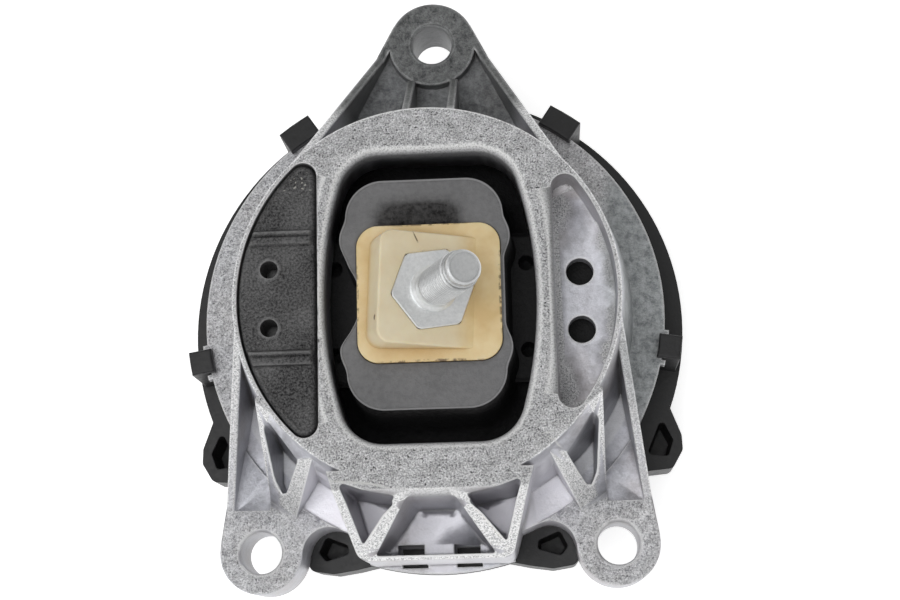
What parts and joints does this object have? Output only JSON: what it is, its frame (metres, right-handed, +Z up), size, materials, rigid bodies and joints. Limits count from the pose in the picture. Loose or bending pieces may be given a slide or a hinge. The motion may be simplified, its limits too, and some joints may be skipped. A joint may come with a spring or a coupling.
{
  "type": "engine mount",
  "caption": "Hydraulic engine mount: ribbed die-cast housing with drilled ears, a rubber-held core with a slanted threaded stud, and a pan-shaped plastic cover held by hooks.",
  "frame": {"origin": "on the mount's axis, in the plane of the cover's underside", "axes": "+Z up along the mount's axis towards the stud, +Y towards the single ear, +X to the side that the stud leans to"},
  "size_m": [0.1354, 0.1619, 0.0993],
  "materials": {
    "cast_aluminium": "shot-blasted die casting",
    "pad_rubber": "moulded, satin",
    "amber_nylon": "moulded, natural nylon",
    "zinc_steel": "zinc plated",
    "core_aluminium": "satin",
    "spring_rubber": "moulded, matte",
    "ring_steel": "plain",
    "plate_aluminium": "as cast",
    "decoupler_rubber": "matte",
    "bellows_rubber": "matte",
    "cover_plastic": "moulded, fine grain"
  },
  "bodies": {
    "root": {"upper_housing": "cast_aluminium", "stop_pad": "pad_rubber", "core_cap": "amber_nylon", "stud": "zinc_steel", "inner_core": "core_aluminium", "main_spring": "spring_rubber", "spring_ring": "ring_steel", "channel_plate_upper": "plate_aluminium", "decoupler": "decoupler_rubber", "channel_plate_lower": "plate_aluminium", "bellows": "bellows_rubber", "bellows_ring": "ring_steel", "base_cover": "cover_plastic"}
  },
  "joints": []
}
